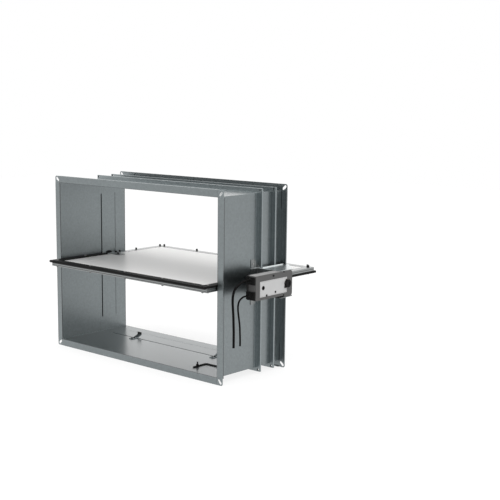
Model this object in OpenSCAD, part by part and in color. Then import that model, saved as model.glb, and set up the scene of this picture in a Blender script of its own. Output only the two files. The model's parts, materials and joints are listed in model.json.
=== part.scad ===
// Smoke exhaust damper for a rectangular duct, with its electric actuator.
// X runs across the duct, Y along it from front to rear, and Z up.
// The origin is on the duct's centreline, at the front face of the first rib,
// in the plane of that rib's four corner holes.

/* [Duct] */
// Clear width of the duct
duct_w = 800; // [600:50:1000]
// Clear height of the duct
duct_h = 600; // [560:20:700]
// Length of the casing along the duct
casing_len = 330; // [320:1:400]
// Thickness of the casing sheet
sheet = 1.5; // [1:0.1:2]
// Distance from the first rib back to the rear flange face
rear_reach = 128; // [124:1:150]
// Distance from the first rib forward to the joint of the two casing sections
seam_reach = 8; // [6:1:9]

/* [Flanges] */
// Width of the flange beyond the clear duct
flange_w = 25; // [22:1:30]
// Length of the lip turned back from the flange
flange_lip = 6; // [4:0.5:8]
// Thickness of a corner plate
corner_t = 2; // [1.5:0.1:2.5]
// Reach of a corner plate's legs along the flange
corner_leg = 60; // [40:5:80]
// Width of a corner plate's legs
corner_leg_w = 18; // [12:1:19]
// Radius of the flange's outer corner
corner_r = 7; // [4:0.5:9]
// Width of the bolt slot in a flange corner
corner_slot_w = 9; // [7:0.5:10]
// Length of the bolt slot in a flange corner
corner_slot_len = 20; // [14:1:21]

/* [Ribs] */
// Height of a rib above the casing wall
rib_out = 15.5; // [14:0.5:20]
// Thickness of a rib along the duct
rib_t = 6.5; // [6:0.1:8]
// Thickness of the rib sheet
rib_sheet = 1; // [0.8:0.1:1.5]
// Length of the rib's foot on the casing
rib_foot = 15; // [14:1:18]
// Clear distance between the two ribs
rib_gap = 65; // [60:1:70]
// Diameter of the bolt holes in the rib corners
rib_hole_d = 8.5; // [6:0.5:9]
// Distance of a rib hole from the rib's side edge
rib_hole_side = 8.5; // [6:0.5:9]
// Distance of a rib hole from the rib's top or bottom edge
rib_hole_end = 6.5; // [6:0.5:9]
// Height of the intumescent seal inside the first rib
seal_h = 10; // [6:1:12]

/* [Wall slots] */
// Width of the slots under the first rib
front_slot_w = 5; // [3:0.5:5]
// Width of the slots under the second rib
rear_slot_w = 1.5; // [1:0.5:3]
// Distance from a duct corner to the end of a slot
slot_end = 55; // [40:5:80]

/* [Blade] */
// Distance from the first rib back to the blade's axis
axis_y = 39; // [38:0.5:41]
// Thickness of the blade board
board_t = 16; // [16:0.5:20]
// Gap between the blade's metal edge and the floor or ceiling when shut
blade_end_gap = 13; // [8:0.5:16]
// Gap between the blade's metal edge and the side walls
blade_side_gap = 4; // [3.5:0.5:6]
// Thickness of the edge frame sheet
frame_sheet = 1; // [0.8:0.1:1.5]
// Width of the edge frame on the board's faces
strip_w = 28; // [24:1:34]
// Thickness of the edge gasket
gasket_t = 4; // [3:0.5:5]
// Width of the edge gasket
gasket_w = 30; // [26:1:36]
// Gap between the gasket and the floor or ceiling when shut
gasket_end_gap = 1.5; // [0.5:0.5:4]
// Gap between the gasket and the side walls
gasket_side_gap = 2; // [0.5:0.5:3]
// Depth of the lip that the gasket turns round the edge frame
gasket_lip = 4; // [2:0.5:6]
// Thickness of the gasket's lip beyond the blade's ends
gasket_lip_t = 5; // [3:0.5:8]

/* [Blade screws] */
// Diameter of the blade screws
screw_d = 4; // [3:0.5:5]
// Diameter of the blade screw heads
screw_head_d = 8; // [7:0.5:9]
// Height of the blade screw heads
screw_head_h = 2.5; // [1.5:0.5:4]
// Diameter of the tall screw heads on the rear half
rear_head_d = 7.5; // [7:0.5:9]
// Height of the tall screw heads on the rear half
rear_head_h = 7; // [4:0.5:8]
// Distance of the side screws from the blade's side edge
screw_side_in = 12; // [9:0.5:14]
// Distance of the end screws from the blade's end edge
screw_end_in = 6; // [5:0.5:12]
// Distance of the outermost end screws from the blade's side edge
screw_corner_in = 25; // [22:1:60]
// Distance from the axis to the innermost side screws
screw_near_y = 44; // [42:1:60]
// Distance from the axis to the middle side screws
screw_mid_y = 134; // [100:1:160]
// Distance of the outer side screws from the blade's end edge
screw_far_in = 18; // [16:1:40]

/* [Shafts and bearings] */
// Diameter of the half shafts
shaft_d = 16; // [14:0.5:16]
// Width across the flats of the shaft's driven end
shaft_square = 11; // [9:0.5:11]
// Length of the half shafts inside the blade
shaft_in = 72; // [66:1:100]
// Radial running clearance of a shaft in its bearing
running_gap = 0.05; // [0.02:0.01:0.1]
// Diameter of the bearing flange inside the duct
bearing_flange_d = 36; // [32:1:44]
// Thickness of the bearing flange
bearing_flange_t = 3; // [2:0.1:3]
// Outer diameter of the bearing bush
bush_d = 24; // [22:1:26]
// Reach of the bush outside the wall
bush_out = 14.5; // [10:0.5:20]
// Outer diameter of the bush's retaining ring
ring_d = 32; // [30:1:38]
// Thickness of the retaining ring
ring_t = 1.5; // [1:0.1:2]

/* [Shaft brackets] */
// Thickness of the bracket plates
bracket_t = 2; // [1.5:0.5:3]
// Half length of a bracket along the blade's edge
bracket_half = 32; // [30:1:34]
// Half width of a bracket over the shaft
bracket_neck = 14; // [12:1:18]
// Distance of the bracket bolts from the axis
bracket_bolt_y = 24; // [21:1:25]
// Diameter of the bracket bolts
bolt_d = 5; // [4:0.5:6]
// Width across the corners of the bolt heads
bolt_head_d = 10; // [9:0.5:12]
// Height of the bolt heads
bolt_head_h = 4; // [3:0.5:5]
// Gap between a bracket and the gasket's end
bracket_gap = 3; // [0.5:0.5:4]

/* [Blade stops] */
// Distance of a stop from the duct's centre
stop_x = 210; // [190:5:250]
// Width of a stop
stop_w = 20; // [16:1:30]
// Height of a stop
stop_h = 20; // [12:1:26]
// Length of a stop, from the end of its foot to its pad
stop_len = 48; // [46:1:60]
// Length of the stop's tongue, which rises from the foot to the pad
stop_tongue = 21; // [16:1:21]
// Height at which the tongue meets the pad
stop_knee = 11; // [8:0.5:12]
// Thickness of a stop
stop_t = 2.5; // [2:0.5:3]
// Gap between a stop and the shut blade
stop_gap = 0.3; // [0.2:0.1:1]

/* [Floor rod] */
// Diameter of the bent rod on the floor
rod_d = 4.5; // [4:0.5:8]
// Distance of the rod's long leg from the right wall
rod_side = 145; // [100:1:200]
// Distance from the front flange to the rod's end
rod_start = 39; // [30:1:60]
// Distance from the front flange to the rod's cross leg
rod_cross = 104; // [90:1:120]
// Radius of the rod's bend
rod_bend = 9; // [7:1:16]
// Height of the rod's post
post_h = 17; // [14:1:30]
// Width of the rod's post
post_w = 7; // [7:1:14]
// Distance from the rod's end to its post
post_reach = 21; // [12:1:30]

/* [Console] */
// Distance from the casing wall to the console's outer face
console_reach = 58.5; // [55:0.5:70]
// Thickness of the console sheet
console_t = 2; // [1.5:0.5:3]
// Length of the console's foot along the casing, up to the rib's foot
console_foot = 22; // [18:1:40]
// Height of the console's foot
console_foot_h = 156; // [130:2:200]
// Height of the console's leg at the wall
console_leg_h = 120; // [100:2:126]
// Distance of the console's leg in front of the first rib
console_leg_y = 4; // [3:0.5:10]
// Height of the lip on the console's plates
console_lip = 3.5; // [3:0.5:10]
// Reach of the console's plates behind the casing
console_tail = 8; // [4:1:14]

/* [Actuator] */
// Depth of the actuator away from the wall
act_depth = 40; // [40:1:46]
// Length of the actuator's main body
body_len = 149; // [146:1:160]
// Height of the actuator's main body, whose top is level with the end block's
body_h = 84; // [82:1:88]
// Length of the actuator's end block
end_len = 43; // [40:1:46]
// Height of the actuator's end block
end_h = 90; // [88:1:96]
// Distance from the blade's axis to the end block's rear face
end_reach = 28; // [26:0.5:32]
// Wall of the actuator housing
act_wall = 2; // [1.5:0.5:2]
// Depth of the actuator's base tray
tray_depth = 8; // [7:0.5:9]
// Radius of the main body's corners
body_r = 4; // [3:0.5:6]
// Radius of the end block's corners
end_r = 12; // [6:1:16]
// Width of the notches between body and end block
notch_w = 6; // [3:0.5:7]
// Depth of the lower notch between body and end block
notch_d = 4; // [2:0.5:4]
// Depth of the upper notch between body and end block
notch_top_d = 7; // [3:0.5:8]
// Diameter of the housing screws
case_screw_d = 3; // [2.5:0.5:3.5]
// Diameter of the housing screw heads
case_head_d = 7; // [5:0.5:7]

/* [Label plate] */
// Length of the blank label plate
label_len = 141; // [120:1:141]
// Height of the blank label plate
label_h = 52.5; // [40:0.5:56]
// Distance from the housing's front end to the label
label_in = 21; // [8:0.5:21]
// Thickness of the label plate
label_t = 0.4; // [0.3:0.1:1]

/* [Position pointer] */
// Diameter of the pointer's disc
pointer_d = 27; // [24:1:30]
// Thickness of the pointer
pointer_t = 6; // [4:0.5:8]
// Reach of the pointer's tip from the axis
pointer_reach = 21; // [18:1:26]
// Direction of the pointer's tip when the blade is open, in degrees
pointer_angle = 222; // [180:1:270]

/* [Gear train] */
// Module of the gears
gear_m = 1.25; // [1.25:0.01:1.26]
// Teeth of the full output circle
output_teeth = 56; // [54:1:56]
// Teeth of the large intermediate gear
gear_b_teeth = 50; // [44:1:50]
// Teeth of the large input gear
gear_a_teeth = 48; // [44:1:48]
// Teeth of the small pinions
pinion_teeth = 12; // [12:1:13]
// Teeth of the override gear
override_teeth = 24; // [20:1:24]
// Play between meshing teeth
backlash = 0.25; // [0.2:0.05:0.35]
// Width of the input gear
gear_a_w = 5; // [4:0.5:5]
// Width of the intermediate gear
gear_b_w = 7.5; // [6:0.5:7.5]
// Width of the output gear
output_w = 11.5; // [9:0.5:12]
// Gap between gears that pass over each other
gear_gap = 1; // [0.5:0.1:1]
// Height of the input gear above the tray's floor
gear_lift = 4; // [3:0.5:4]
// Diameter of the gear pins
pin_d = 4; // [3:0.5:5]
// Diameter of the motor
motor_d = 24; // [20:1:25]
// Direction from the input gear to the motor pinion, in degrees
motor_angle = 140; // [136:1:144]

/* [Cables] */
// Diameter of the upper cable
cable_a_d = 8; // [6:0.5:8]
// Diameter of the lower cable
cable_b_d = 6; // [5:0.5:7]
// Width of a cable block
cable_block_w = 37; // [30:1:38]
// Height of the upper cable block
block_a_h = 25; // [20:1:26]
// Height of the lower cable block
block_b_h = 27; // [20:1:28]
// Depth of a cable block
cable_block_t = 5; // [4:0.5:8]

/* [Hidden] */
// Overrun of cuts, and the clearance of pieces that are fitted and fixed
over = 1;
fit_gap = 0.2;
pin_fit = 0.05;
seat_gap = 0.3;
$fn = 48;

// Casing planes
half_w = duct_w / 2;
half_h = duct_h / 2;
wall_x = half_w + sheet;
wall_z = half_h + sheet;
front_y = rear_reach - casing_len;
rear_y = rear_reach;
seam_y = -seam_reach;
flange_x = half_w + flange_w;
flange_z = half_h + flange_w;
leg_gap = 1;
corner_pad = 8;

// Rib planes
rib_x = wall_x + rib_out;
rib_z = wall_z + rib_out;
rib_b_y = rib_t + rib_gap;
hole_x = rib_x - rib_hole_side;
hole_z = rib_z - rib_hole_end;
front_slot_y = rib_t / 2;
rear_slot_y = rib_b_y + rib_t / 2;
seal_past = 8;

// Blade planes, from its axis
blade_x = half_w - blade_side_gap;
blade_y = half_h - blade_end_gap;
board_z = board_t / 2;
blade_z = board_z + frame_sheet;
gasket_x = half_w - gasket_side_gap;
gasket_y = half_h - gasket_end_gap;
gasket_z = blade_z + gasket_t;
nut_h = 3;
nut_d = 8;
nut_past = 1;
shaft_slot = shaft_d / 2 + seat_gap;
bracket_z = blade_z + bracket_t;
bracket_bolt_x = blade_x - screw_side_in;
shaft_bolt_in = 52;
shaft_bolt_x = blade_x - shaft_bolt_in;

// Bearings
bearing_face = half_w - bearing_flange_t;
bush_end = wall_x + bush_out;
ring_groove = 1;
end_wall = 3;

// Stops, set from the shut blade's gasket
stop_face = axis_y - gasket_z - stop_gap;
stop_screw_a = -rib_foot - 0.55 * screw_d;
stop_screw_b = -1.1 * screw_d;
stop_pad = 3;
stop_head_h = 2;
stop_screw_past = 3;

// Floor rod
rod_x = half_w - rod_side;
rod_y0 = front_y + rod_start;
rod_y1 = front_y + rod_cross;
rod_z = rod_d / 2 - half_h;
post_cap_d = 5;

// Console planes
web_x = wall_x + console_reach;
end_drop = 1;
plate_z1 = end_h / 2 + console_t - end_drop;
plate_z0 = -end_h / 2 - console_t - end_drop;
plate_slant = 8;
foot_step = rib_sheet;
rib_clear = 0.3;
web_hole_d = 26;
rivet_d = 3.2;
rivet_head_d = 7;
rivet_head_h = 1.2;
rivet_shares = [-0.4, -0.15, 0.15, 0.4];
web_screw_d = 4;
web_screw_head_d = 7;
web_screw_head_h = 2.5;
web_screw_len = 5;

// Actuator planes; Y and Z of its outline, X of its layers
act_x1 = web_x + act_depth;
end_y1 = axis_y + end_reach;
end_y0 = end_y1 - end_len;
body_y0 = end_y0 - body_len;
end_z0 = plate_z0 + console_t;
end_z1 = plate_z1 - console_t;
body_z0 = end_z1 - body_h;
tray_x = web_x + act_wall;
split_x = web_x + tray_depth;
cover_x = act_x1 - act_wall;
notch_y0 = end_y0 - notch_w;
hub_d = 36;
journal_d = 28;
journal_proud = 0.6;
case_head_h = 1.5;
pillar_d = 6;
short_screw_len = 12;

// Housing screws, from the blade's axis: two into pillars and one into a boss
pillar_a = [-74, 35];
pillar_b = [-108.5, -27];
boss_c = [-63, -21];

// Label plate
label_y0 = body_y0 + label_in;
label_z0 = -30;
label_hub_gap = 2.5;
hole_gap = 0.5;

// Gears; places are worked out from the tooth counts, in the plane across the axis
gear_a_x = tray_x + gear_lift;
gear_b_x = gear_a_x + gear_a_w + gear_gap;
output_x = gear_b_x + gear_b_w + gear_gap;
pressure = 25;
addendum_share = 0.9;
dedendum_share = 1.2;
flank_steps = 2;
hub_small_d = 10;
function pitch_r(teeth) = teeth * gear_m / 2;
function centres(a, b) = pitch_r(a) + pitch_r(b);
gear_b_y = axis_y - centres(output_teeth, pinion_teeth);
gear_a_y = gear_b_y - centres(gear_b_teeth, pinion_teeth);
override_y = gear_a_y - centres(gear_a_teeth, override_teeth);
motor_reach = centres(gear_a_teeth, pinion_teeth);
motor_y = gear_a_y + motor_reach * cos(motor_angle);
motor_z = motor_reach * sin(motor_angle);
motor_x = gear_a_x + gear_a_w + gear_gap;
motor_shaft_d = 3;
motor_shaft_len = 8;
socket_d = 14;
socket_proud = 0.6;
socket_len = 8;
hex_d = 9;
sector_from = 158;
sector_to = 292;

// Tooth phases, so that each tooth faces a gap at rest
function meshed(phase, teeth_a, teeth_b, dir) =
    dir + 180 + (dir - phase) * teeth_a / teeth_b + 180 / teeth_b;
output_phase = 180;
gear_b_phase = meshed(output_phase, output_teeth, pinion_teeth, 180);
gear_a_phase = meshed(gear_b_phase, gear_b_teeth, pinion_teeth, 180);
override_phase = meshed(gear_a_phase, gear_a_teeth, override_teeth, 180);
motor_phase = meshed(gear_a_phase, gear_a_teeth, pinion_teeth, motor_angle);

// Circuit board
board_in = 7;
pcb_t = 1.6;
pcb_side = 1.5;
terminal_w = 20;
terminal_h = 14;
terminal_t = 5;

// Cable blocks, glands and free cables
cable_x = web_x + act_depth / 2;
block_a_z = 26.5;
block_b_z = -23;
block_neck = 5;
gland_a_z = 30;
gland_b_z = -21;
gland_d = 12;
gland_rim = 2;
gland_a_len = 4;
gland_b_len = 10;
cable_sides = 10;
// Routes of the cables across the duct's side, as places along Y and Z
cable_a_route = [
    [-134, 30], [-148, 30], [-164, 28], [-180, 24], [-194, 18], [-206, 8],
    [-213, -5], [-216, -20], [-216, -38], [-214, -60], [-212, -84],
    [-211, -108], [-210, -132], [-210, -158], [-210, -184]
];
cable_b_route = [
    [-140, -21], [-152, -21], [-164, -22], [-175, -26], [-184, -33], [-189, -44],
    [-190, -58], [-188, -74], [-185, -90], [-182, -106], [-180, -122],
    [-179, -142], [-178, -162], [-178, -183]
];

galvanised = [0.53, 0.56, 0.57];
shaded_zinc = [0.45, 0.48, 0.49];
bright_zinc = [0.72, 0.73, 0.73];
black = [0.09, 0.09, 0.09];

// Building blocks

// A box between two planes on each axis
module span(x, y, z) {
    translate([x[0], y[0], z[0]]) cube([x[1] - x[0], y[1] - y[0], z[1] - z[0]]);
}

// A flat outline drawn in Y and Z, given thickness along X
module along_x(x0, len) {
    translate([x0, 0, 0]) rotate([90, 0, 90]) linear_extrude(len) children();
}

// A flat outline drawn in X and Z, given thickness along Y
module along_y(y0, len) {
    translate([0, y0 + len, 0]) rotate([90, 0, 0]) linear_extrude(len) children();
}

// A rod along X from x0 to x1
module rod_x_way(d, x0, x1) {
    translate([x0, 0, 0]) rotate([0, 90, 0]) cylinder(h = x1 - x0, d = d);
}

module both_sides() {
    children();
    mirror([1, 0, 0]) children();
}

module over_and_under() {
    children();
    mirror([0, 0, 1]) children();
}

// What belongs to the blade is drawn from its axis
module at_axis() {
    translate([0, axis_y, 0]) children();
}

// The same piece on the blade's other half, turned about the axis
module turned() {
    rotate([180, 0, 0]) children();
}

module soft_rect(y, z, r) {
    translate([y[0] + r, z[0]]) square([y[1] - y[0] - 2 * r, z[1] - z[0]]);
    translate([y[0], z[0] + r]) square([y[1] - y[0], z[1] - z[0] - 2 * r]);
    for (cy = [y[0] + r, y[1] - r], cz = [z[0] + r, z[1] - r]) {
        translate([cy, cz]) circle(r);
    }
}

// A slot with round ends, centred, along the first axis of its plane
module slot_shape(len, w) {
    square([len - w, w], center = true);
    for (s = [-1, 1]) translate([s * (len - w) / 2, 0]) circle(d = w);
}

// Casing

module casing_tube(y0, y1) {
    difference() {
        span([-wall_x, wall_x], [y0, y1], [-wall_z, wall_z]);
        span([-half_w, half_w], [y0 - over, y1 + over], [-half_h, half_h]);
    }
}

// Flange strips with their turned lips, for a flange face at Y = 0
module flange_strips() {
    over_and_under() {
        span([-half_w, half_w], [0, sheet], [half_h, flange_z]);
        span([-half_w, half_w], [0, flange_lip], [flange_z - sheet, flange_z]);
    }
    both_sides() {
        span([half_w, flange_x], [0, sheet], [-half_h, half_h]);
        span([flange_x - sheet, flange_x], [0, flange_lip], [-half_h, half_h]);
    }
}

// Slots cut through all four walls
module wall_slots(y, w) {
    along_x(-wall_x - over, 2 * (wall_x + over)) {
        translate([y, 0]) rotate(90) slot_shape(duct_h - 2 * slot_end, w);
    }
    translate([0, y, -wall_z - over]) linear_extrude(2 * (wall_z + over)) {
        slot_shape(duct_w - 2 * slot_end, w);
    }
}

module stop_places() {
    for (x = [-stop_x, stop_x]) translate([x, 0, 0]) children();
}

// The screws' lines of the floor stops, from inside the duct outwards
module stop_screw_lines(d, z0, z1) {
    stop_places() for (y = [stop_screw_a, stop_screw_b]) {
        translate([0, y, z0]) cylinder(h = z1 - z0, d = d);
    }
}

module stop_holes() {
    stop_screw_lines(screw_d + 2 * pin_fit, -rib_z, over - half_h);
    at_axis() turned() translate([0, -axis_y, 0]) {
        stop_screw_lines(screw_d + 2 * pin_fit, -rib_z, over - half_h);
    }
}

module front_section() {
    color(galvanised) difference() {
        union() {
            casing_tube(front_y, seam_y);
            translate([0, front_y, 0]) flange_strips();
        }
        stop_holes();
        console_rivet_lines(rivet_d + 2 * pin_fit);
    }
}

module rear_section() {
    color(galvanised) difference() {
        union() {
            casing_tube(seam_y, rear_y);
            translate([0, rear_y, 0]) mirror([0, 1, 0]) flange_strips();
        }
        wall_slots(front_slot_y, front_slot_w);
        wall_slots(rear_slot_y, rear_slot_w);
        at_axis() rod_x_way(bush_d + 2 * fit_gap, -wall_x - over, wall_x + over);
        stop_holes();
    }
}

// One corner plate at the upper right, for a flange face at Y = 0
module corner_plate() {
    x0 = half_w + fit_gap;
    z0 = half_h + fit_gap;
    difference() {
        union() {
            along_y(0, corner_t) difference() {
                union() {
                    translate([x0, z0]) square([flange_x - x0, flange_z - z0 - corner_r]);
                    translate([x0, z0]) square([flange_x - x0 - corner_r, flange_z - z0]);
                    translate([flange_x - corner_r, flange_z - corner_r]) circle(corner_r);
                }
                square([wall_x + fit_gap, wall_z + fit_gap]);
            }
            // Thicker seats, where the legs step back behind the strips
            leg_x = wall_x + leg_gap;
            leg_z = wall_z + leg_gap;
            span([x0, x0 + corner_pad], [0, sheet + corner_t], [leg_z, leg_z + corner_leg_w]);
            span([leg_x, leg_x + corner_leg_w], [0, sheet + corner_t], [z0, z0 + corner_pad]);
            span([x0 - corner_leg, x0 + corner_pad], [sheet, sheet + corner_t],
                [leg_z, leg_z + corner_leg_w]);
            span([leg_x, leg_x + corner_leg_w], [sheet, sheet + corner_t],
                [z0 - corner_leg, z0 + corner_pad]);
        }
        along_y(-over, sheet + corner_t + 2 * over) {
            translate([half_w + flange_w / 2, half_h + flange_w / 2]) rotate(45) {
                slot_shape(corner_slot_len, corner_slot_w);
            }
        }
    }
}

module front_flange_corners() {
    color(bright_zinc) translate([0, front_y, 0]) over_and_under() both_sides() corner_plate();
}

module rear_flange_corners() {
    color(bright_zinc) translate([0, rear_y, 0]) mirror([0, 1, 0]) {
        over_and_under() both_sides() corner_plate();
    }
}

// Ribs

module ring(x0, z0, x1, z1, y) {
    difference() {
        span([-x1, x1], y, [-z1, z1]);
        span([-x0, x0], [y[0] - over, y[1] + over], [-z0, z0]);
    }
}

// A hollow rib round the casing, its face at Y = 0 and its foot in front of it
module rib() {
    difference() {
        union() {
            ring(wall_x, wall_z, rib_x, rib_z, [0, rib_t]);
            ring(wall_x, wall_z, wall_x + rib_sheet, wall_z + rib_sheet, [-rib_foot, rib_sheet]);
        }
        ring(wall_x - over, wall_z - over, rib_x - rib_sheet, rib_z - rib_sheet,
            [rib_sheet, rib_t - rib_sheet]);
        over_and_under() both_sides() {
            translate([hole_x, -over, hole_z]) rotate([-90, 0, 0]) {
                cylinder(h = rib_t + 2 * over, d = rib_hole_d);
            }
        }
    }
}

module front_rib() {
    color(shaded_zinc) difference() {
        rib();
        stop_holes();
    }
}

module rear_rib() {
    color(shaded_zinc) difference() {
        translate([0, rib_b_y + rib_t, 0]) mirror([0, 1, 0]) rib();
        stop_holes();
    }
}

// Intumescent strips inside the first rib, behind the wall slots
module rib_seals() {
    seal_y = [rib_sheet, rib_t - rib_sheet];
    end_x = half_w - slot_end + seal_past;
    end_z = half_h - slot_end + seal_past;
    color([0.12, 0.12, 0.13]) {
        over_and_under() span([-end_x, end_x], seal_y, [wall_z, wall_z + seal_h]);
        both_sides() span([wall_x, wall_x + seal_h], seal_y, [-end_z, end_z]);
    }
}

// Bearings

// A flanged bush in the right wall; the blind one closes its shaft's end
module bearing(blind) {
    at_axis() difference() {
        union() {
            rod_x_way(bearing_flange_d, bearing_face, half_w);
            rod_x_way(bush_d, bearing_face, bush_end);
        }
        rod_x_way(shaft_d + 2 * running_gap, bearing_face - over,
            blind ? bush_end - end_wall : bush_end + over);
        difference() {
            rod_x_way(bush_d + over, wall_x, wall_x + ring_t);
            rod_x_way(bush_d - 2 * ring_groove, wall_x - over, wall_x + ring_t + over);
        }
    }
}

module left_bearing() {
    color(black) mirror([1, 0, 0]) bearing(true);
}

module right_bearing() {
    color(black) bearing(false);
}

// Snap rings that hold the bushes from outside, each with a gap at the top
module bearing_rings() {
    slit = bush_d / 3;
    color(bright_zinc) both_sides() at_axis() difference() {
        rod_x_way(ring_d, wall_x, wall_x + ring_t);
        rod_x_way(bush_d - 2 * ring_groove + 2 * pin_fit, wall_x - over, wall_x + ring_t + over);
        span([wall_x - over, wall_x + ring_t + over], [-slit / 2, slit / 2], [0, ring_d]);
    }
}

// Blade stops

// A floor stop, bent from strip: a foot, a tongue that rises and a pad in front of the shut blade
module stop_bracket() {
    floor_z = -half_h;
    foot_z = floor_z + stop_t;
    foot_y = stop_face - stop_len;
    tongue_y = stop_face - stop_tongue;
    pad_y = stop_face - stop_pad;
    difference() {
        along_x(-stop_w / 2, stop_w) polygon([
            [foot_y, floor_z], [tongue_y, floor_z], [stop_face, floor_z + stop_knee - stop_t],
            [stop_face, floor_z + stop_h], [pad_y, floor_z + stop_h], [pad_y, floor_z + stop_knee],
            [tongue_y - stop_t, foot_z], [foot_y, foot_z]
        ]);
        for (y = [stop_screw_a, stop_screw_b]) {
            translate([0, y, floor_z - over]) cylinder(h = stop_t + 2 * over, d = screw_d + 2 * pin_fit);
        }
    }
}

module floor_stops() {
    color(black) stop_places() stop_bracket();
}

// The upper stops are the floor stops turned about the blade's axis
module upper_stops() {
    color(black) at_axis() turned() translate([0, -axis_y, 0]) stop_places() stop_bracket();
}

module stop_screw_set() {
    top = stop_t - half_h;
    stop_screw_lines(screw_head_d, top, top + stop_head_h);
    stop_screw_lines(screw_d, -wall_z - rib_sheet - stop_screw_past, top + stop_head_h);
}

module stop_screws() {
    color(black) {
        stop_screw_set();
        at_axis() turned() translate([0, -axis_y, 0]) stop_screw_set();
    }
}

// Floor rod

module floor_rod() {
    color(black) {
        translate([rod_x, rod_y0, rod_z]) rotate([-90, 0, 0]) {
            cylinder(h = rod_y1 - rod_bend - rod_y0, d = rod_d);
        }
        translate([rod_x + rod_bend, rod_y1 - rod_bend, rod_z]) rotate(90) {
            rotate_extrude(angle = 90) translate([rod_bend, 0]) circle(d = rod_d);
        }
        translate([0, rod_y1, rod_z]) rod_x_way(rod_d, rod_x + rod_bend, half_w);
    }
}

// The post that straddles the rod, with a round button on top
module rod_post() {
    color(black) translate([rod_x, rod_y0 + post_reach, -half_h]) difference() {
        union() {
            span([-post_w / 2, post_w / 2], [-post_w / 2, post_w / 2], [0, post_h / 2]);
            cylinder(h = post_h, d = post_cap_d);
        }
        span([-rod_d / 2 - pin_fit, rod_d / 2 + pin_fit], [-post_w, post_w], [-over, rod_d / 2]);
        translate([0, -post_w, rod_d / 2]) rotate([-90, 0, 0]) {
            cylinder(h = 2 * post_w, d = rod_d + 2 * pin_fit);
        }
    }
}

// Console

module console_rivet_lines(d) {
    rivet_y = -rib_foot - console_foot / 2;
    for (s = rivet_shares) translate([0, rivet_y, s * console_foot_h]) {
        rod_x_way(d, half_w, wall_x + console_t + over);
    }
}

module console_rivets() {
    rivet_y = -rib_foot - console_foot / 2;
    face = wall_x + console_t;
    color(bright_zinc) for (s = rivet_shares) {
        translate([0, rivet_y, s * console_foot_h]) {
            rod_x_way(rivet_d, half_w, face + rivet_head_h);
            rod_x_way(rivet_head_d, face, face + rivet_head_h);
        }
    }
}

// The outline of the console's upper and lower plates, in X and Y
module console_plate() {
    x0 = rib_x + rib_clear;
    x1 = flange_x + console_t;
    tail_y = rear_y + console_tail;
    notch_y = rear_y - flange_lip - console_t;
    polygon([
        [x0, -console_leg_y], [act_x1, plate_slant - console_leg_y], [act_x1, end_y1],
        [x1, tail_y], [x1, notch_y], [x0, notch_y]
    ]);
}

module web_screw_places() {
    for (y = [end_y0 + 4 * act_wall, end_y1 - 4 * act_wall], z = [end_z0, end_z1]) {
        translate([0, y, 0.7 * z]) children();
    }
}

module console() {
    foot_y0 = -rib_foot - console_foot;
    leg_y = -console_leg_y;
    web_end = end_y1 + act_depth - console_t;
    step_x = wall_x + foot_step;
    x0 = rib_x + rib_clear;
    h = console_foot_h / 2;
    leg_h = console_leg_h / 2;
    lip_end = rear_y - flange_lip - console_t;
    color(galvanised) difference() {
        union() {
            span([wall_x, wall_x + console_t], [foot_y0, -rib_foot - fit_gap], [-h, h]);
            along_x(step_x, console_t) polygon([
                [-rib_foot - 2 * console_t, -h], [leg_y + console_t, -leg_h],
                [leg_y + console_t, leg_h], [-rib_foot - 2 * console_t, h]
            ]);
            along_y(leg_y, console_t) polygon([
                [step_x, -leg_h], [step_x, leg_h], [x0, plate_z1], [web_x, plate_z1],
                [web_x, plate_z0], [x0, plate_z0]
            ]);
            span([web_x - console_t, web_x], [leg_y, web_end], [plate_z0, plate_z1]);
            for (z = [plate_z0, plate_z1 - console_t]) {
                translate([0, 0, z]) linear_extrude(console_t) console_plate();
            }
            span([x0, x0 + console_t], [rib_t, lip_end], [plate_z1 - console_t, plate_z1 + console_lip]);
            span([x0, x0 + console_t], [rib_t, lip_end], [plate_z0 - console_lip, plate_z0 + console_t]);
        }
        at_axis() rod_x_way(web_hole_d, web_x - console_t - over, web_x + over);
        console_rivet_lines(rivet_d + 2 * pin_fit);
        web_screw_places() rod_x_way(web_screw_d + 2 * pin_fit, web_x - console_t - over, web_x + over);
    }
}

module console_screws() {
    back = web_x - console_t;
    color(bright_zinc) web_screw_places() {
        rod_x_way(web_screw_head_d, back - web_screw_head_h, back);
        rod_x_way(web_screw_d, back - web_screw_head_h, web_x + web_screw_len);
    }
}

// Blade; every piece is drawn from the blade's axis with the blade open

// Places of the screws on the front half
module blade_screw_places() {
    x = blade_x - screw_side_in;
    for (sx = [-x, x], y = [screw_near_y, screw_mid_y, blade_y - screw_far_in]) {
        translate([sx, -y, 0]) children();
    }
    for (k = [-2 : 2]) {
        translate([k * (blade_x - screw_corner_in) / 2, screw_end_in - blade_y, 0]) children();
    }
}

module blade_screw_holes() {
    for (half = [0, 180]) rotate([half, 0, 0]) blade_screw_places() {
        cylinder(h = 2 * (gasket_z + over), d = screw_d + 2 * pin_fit, center = true);
    }
}

module bracket_bolt_places() {
    both_sides() {
        for (y = [-bracket_bolt_y, bracket_bolt_y]) translate([bracket_bolt_x, y, 0]) children();
        translate([shaft_bolt_x, 0, 0]) children();
    }
}

module bracket_bolt_holes() {
    bracket_bolt_places() {
        cylinder(h = 2 * (bracket_z + over), d = bolt_d + 2 * pin_fit, center = true);
    }
}

module blade_board() {
    x = blade_x - frame_sheet;
    y = blade_y - frame_sheet;
    color([0.93, 0.93, 0.92]) at_axis() difference() {
        span([-x, x], [-y, y], [-board_z, board_z]);
        both_sides() {
            span([blade_x - shaft_in - seat_gap, blade_x + over], [-shaft_slot, shaft_slot],
                [-board_z - over, board_z + over]);
        }
        blade_screw_holes();
        bracket_bolt_holes();
    }
}

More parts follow.
